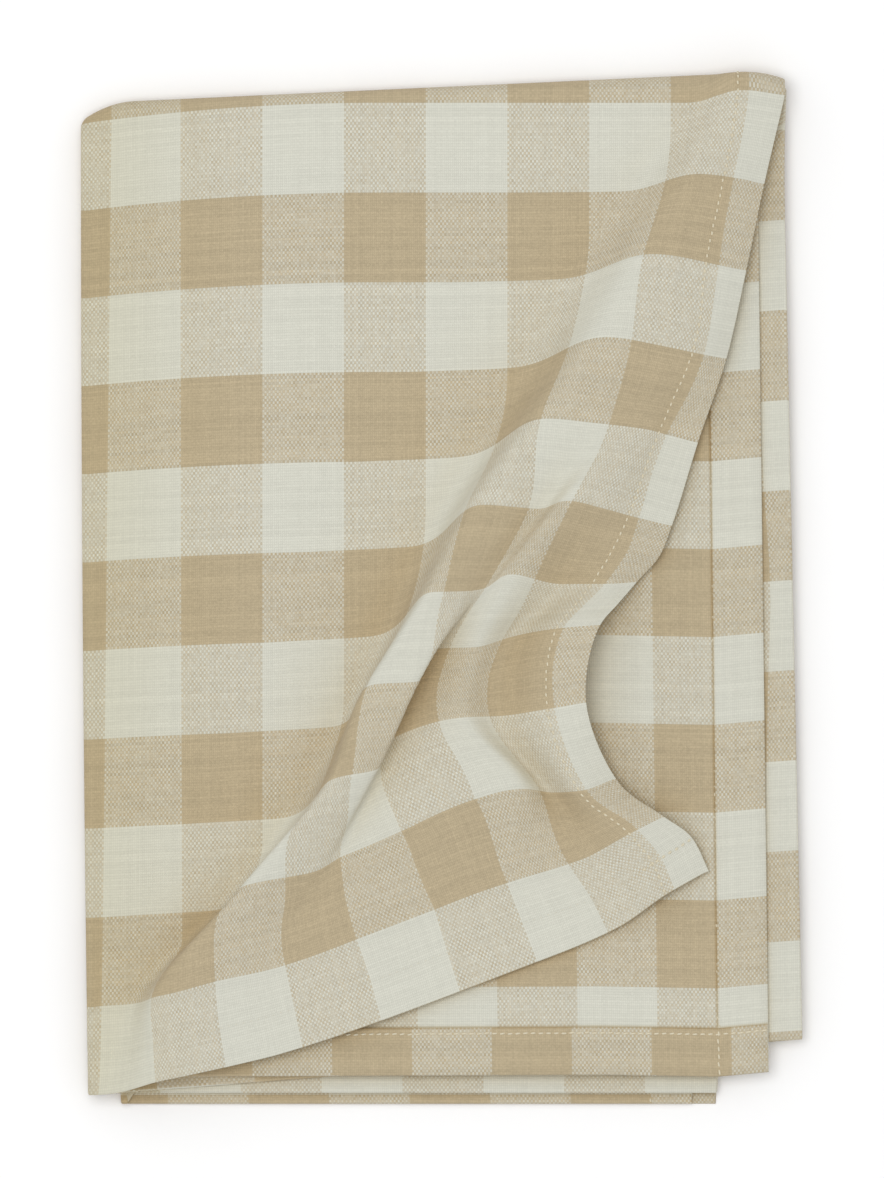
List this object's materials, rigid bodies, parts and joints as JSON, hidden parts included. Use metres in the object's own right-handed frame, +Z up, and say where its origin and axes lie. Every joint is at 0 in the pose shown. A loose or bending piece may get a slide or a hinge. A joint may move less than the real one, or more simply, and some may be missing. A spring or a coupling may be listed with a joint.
{
  "type": "folded tablecloth",
  "caption": "Gingham tablecloth with sewn hems, folded flat into a rectangle, its loose top corner pushed back into soft ridges.",
  "frame": {"origin": "middle of the folded cloth's outline, on the surface that it rests on", "axes": "+X across the folded cloth, from the long side fold towards the hems, +Y up the cloth towards the top fold, +Z up from the surface"},
  "size_m": [0.3605, 0.5154, 0.0438],
  "materials": {
    "gingham": "matt plain-woven cotton"
  },
  "bodies": {
    "root": {"tablecloth": "gingham"}
  },
  "joints": []
}
